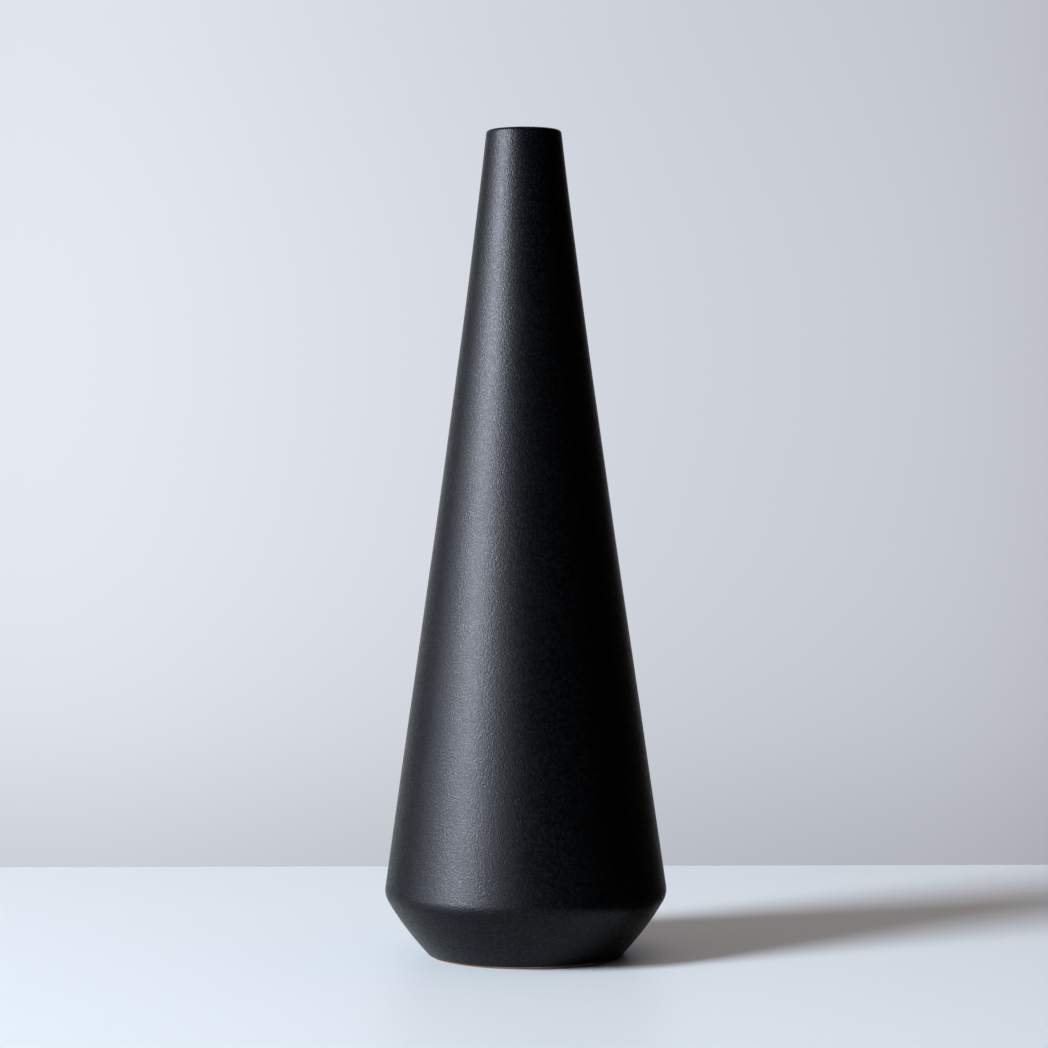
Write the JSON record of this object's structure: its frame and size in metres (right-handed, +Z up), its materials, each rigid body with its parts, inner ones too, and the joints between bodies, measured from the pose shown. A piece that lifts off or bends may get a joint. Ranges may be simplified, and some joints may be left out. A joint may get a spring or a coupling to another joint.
{
  "type": "bottle vase",
  "caption": "Tall slender clay vase: a long slightly hollow cone rising from a low rounded keel and a small flat foot to a narrow mouth, under a matte black coat.",
  "frame": {"origin": "middle of the foot, on the plane it stands on", "axes": "+Z up along the axis of the vase; round about Z, so X and Y are any two level directions"},
  "size_m": [0.1026, 0.1026, 0.3],
  "materials": {
    "bare_clay": "matte",
    "black_coat": "satin",
    "liner": "satin"
  },
  "bodies": {
    "root": {"foot_ring": "bare_clay", "floor_disc": "bare_clay", "lower_band": "bare_clay", "seam_coil": "bare_clay", "cone_wall": "bare_clay", "lip_ring": "bare_clay", "outer_coat": "black_coat", "inner_coat": "liner"}
  },
  "joints": []
}
